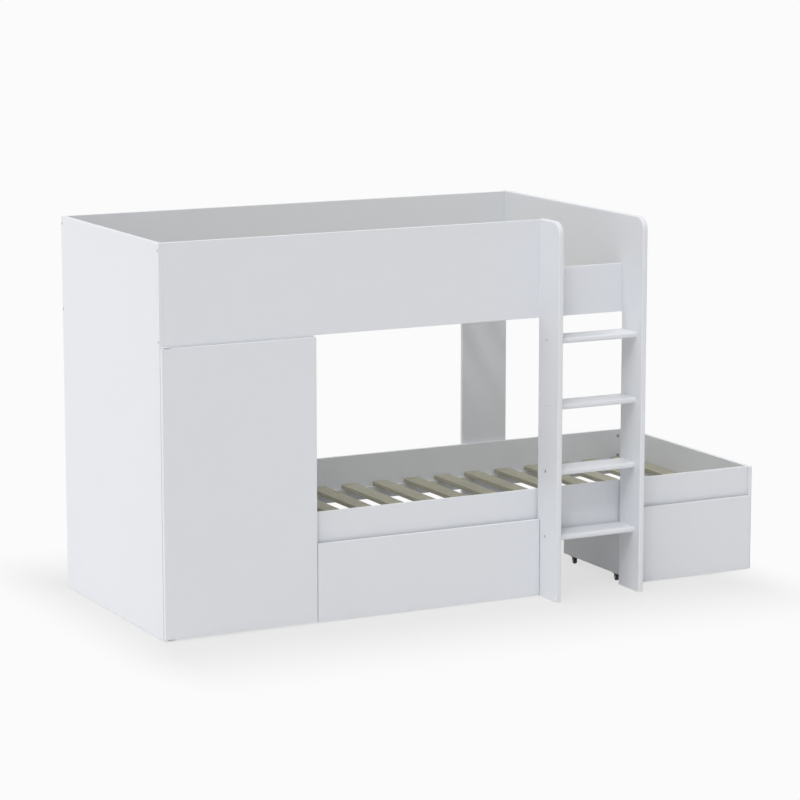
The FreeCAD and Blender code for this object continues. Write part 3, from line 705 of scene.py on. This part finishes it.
beech_pale = (0.62, 0.45, 0.28, 1)
beech_dark = (0.48, 0.32, 0.18, 1)
dowel_seed = (0.2, 0.6, 0.4)
dowel_roughness = (0.50, 0.65)
dowel_relief = (0.3, 0.0003)
beech_dowel, dowel_tree, dowel_shader = new_shader("beech_dowel")
dowel_fibre = effect(dowel_tree, planed_wood, Point=along_x(dowel_tree), Seed=dowel_seed)["Fibre"]
dowel_colour = mix_colour(dowel_tree, dowel_fibre, beech_pale, beech_dark)
dowel_dulled = ease(dowel_tree, dowel_fibre, *middle_of_noise, *dowel_roughness)
finish_surface(dowel_tree, dowel_shader, dowel_colour, dowel_dulled, dowel_fibre, dowel_relief)
dress("wooden_dowels", beech_dowel)

# Floor glides: white nylon discs nailed under every board that stands on the floor. They lift the boards'
# lower edges 3 mm clear of it.

dress("floor_glides", white_nylon)

# Studio floor: a wide pale sheet under the bed that keeps part of its shadow. For the camera it glows, and
# the glow is a painted shade near and under the bed that fades into the white surround away from the bed,
# and sooner past the ends than in front.

floor_reach = 90.0
floor_points = [(-floor_reach, -floor_reach, 0), (floor_reach, -floor_reach, 0),
                (floor_reach, floor_reach, 0), (-floor_reach, floor_reach, 0)]
floor_mesh = bpy.data.meshes.new("studio_floor")
floor_mesh.from_pydata(floor_points, [], [(0, 1, 2, 3)])
floor = put_in_scene("studio_floor", floor_mesh)

surround = 0.965
floor_tone = (0.72, 0.72, 0.72, 1)
floor_roughness = 0.7
floor_specular = 0.1
# Painted shade on the floor's glow: dimmer at the bed's edge and fading out with distance, sooner past the
# ends, over a footprint drawn in at the right end.
painted_shade_at_bed = 0.79
floor_least_glow = 0.75
painted_shade_fade = (-0.35, 0.75)
painted_shade_end_fade = 2.3
painted_shade_drawn_in = 0.2
bed_half_length = (cad_box[1][0] - cad_box[0][0] - painted_shade_drawn_in) / 2
bed_half_depth = (cad_box[1][1] - cad_box[0][1]) / 2


def seen_directly(tree):
    """1 for rays from the camera, reflections and refractions, 0 for light that falls on things."""
    path = place(tree, "ShaderNodeLightPath", {}).outputs
    mirrored = reckon(tree, "MAXIMUM", path["Is Glossy Ray"], path["Is Transmission Ray"])
    return reckon(tree, "MAXIMUM", path["Is Camera Ray"], mirrored)


floor_material, floor_tree, floor_shader = new_shader("pale_floor")
floor_shader.inputs["Roughness"].default_value = floor_roughness
floor_shader.inputs["Specular IOR Level"].default_value = floor_specular
floor_shader.inputs["Base Color"].default_value = floor_tone
floor_centred = reckon_vector(floor_tree, "ADD", own_point(floor_tree), (painted_shade_drawn_in / 2, 0, 0))
floor_mirrored = reckon_vector(floor_tree, "ABSOLUTE", floor_centred)
floor_beyond = reckon_vector(floor_tree, "SUBTRACT", floor_mirrored, (bed_half_length, bed_half_depth, 0))
floor_outside = reckon_vector(floor_tree, "MAXIMUM", floor_beyond, (0, 0, 0))
floor_stretched = reckon_vector(floor_tree, "MULTIPLY", floor_outside, (painted_shade_end_fade, 1, 1))
from_bed = reckon_number(floor_tree, "LENGTH", floor_stretched)
# Painted shade: the floor's glow is dimmed near and under the bed and brightens to the white surround away
# from it.
glow_with_painted_shade = ease(floor_tree, from_bed, *painted_shade_fade, painted_shade_at_bed, surround)
glow = place(floor_tree, "ShaderNodeEmission", {"Color": (1, 1, 1, 1), "Strength": glow_with_painted_shade})
glow_share = ease(floor_tree, from_bed, *painted_shade_fade, floor_least_glow, 1.0)
fade = reckon(floor_tree, "MULTIPLY", glow_share, seen_directly(floor_tree))
floor_mix = place(floor_tree, "ShaderNodeMixShader", {
    0: fade, 1: floor_shader.outputs[0], 2: glow.outputs[0]})
floor_tree.links.new(floor_mix.outputs[0], floor_tree.nodes["Material Output"].inputs["Surface"])
floor.data.materials.append(floor_material)

# Studio light: an even white surround, a broad soft lamp from the upper left and a square one beside the
# left end. A smaller lamp in front on the upper left draws the soft shadows of the ladder.

sky_light = 0.551
world = bpy.data.worlds.new("white_studio")
world.use_nodes = True
bpy.context.scene.world = world
world_tree = world.node_tree
sky_level = place(world_tree, "ShaderNodeMapRange", {
    0: seen_directly(world_tree), 3: sky_light, 4: surround})
world_tree.links.new(sky_level.outputs[0], world_tree.nodes["Background"].inputs["Strength"])
world_tree.nodes["Background"].inputs["Color"].default_value = (1, 1, 1, 1)


def aimed(direction):
    """Turn of a lamp that shines along a direction."""
    return Vector(direction).to_track_quat("-Z", "Y").to_euler()


def distant_lamp(name, aim, energy, spread):
    """Lamp far away that shines along aim; spread is the angle in degrees that it fills in the sky."""
    lamp = bpy.data.lights.new(name, "SUN")
    lamp.energy = energy
    lamp.angle = math.radians(spread)
    put_in_scene(name, lamp).rotation_euler = aimed(aim)


distant_lamp("overhead_lamp", aim=(0.40, 0.185, -1.0), energy=1.22, spread=50)
distant_lamp("front_lamp", aim=(0.85, 1.0, -1.53), energy=0.48, spread=10)

left_lamp_place = (-4.3, 0.4, 1.3)
left_lamp_aim = (1, -0.05, -0.15)
left_lamp = bpy.data.lights.new("left_lamp", "AREA")
left_lamp.size = 2.0
left_lamp.energy = 11.7
left_lamp_object = put_in_scene("left_lamp", left_lamp)
left_lamp_object.location = left_lamp_place
left_lamp_object.rotation_euler = aimed(left_lamp_aim)
left_lamp_object.visible_camera = False

# Camera: the photograph's own place and lens, worked out from the corners of the bed. It looks down on
# the left front corner from a distance, so the boards' edges stay nearly parallel.

camera_yaw = math.radians(27.317)
camera_pitch = math.radians(10.043)
camera_place = (-5.588, -10.634, 2.863)
camera_data = bpy.data.cameras.new("photo_camera")
camera_data.lens = 138.76
camera_data.sensor_width = 36.0
camera_data.clip_end = 300.0
camera = put_in_scene("photo_camera", camera_data)
camera.location = camera_place
camera.rotation_euler = (math.pi / 2 - camera_pitch, 0, -camera_yaw)
bpy.context.scene.camera = camera
bpy.context.scene.view_settings.view_transform = "Standard"
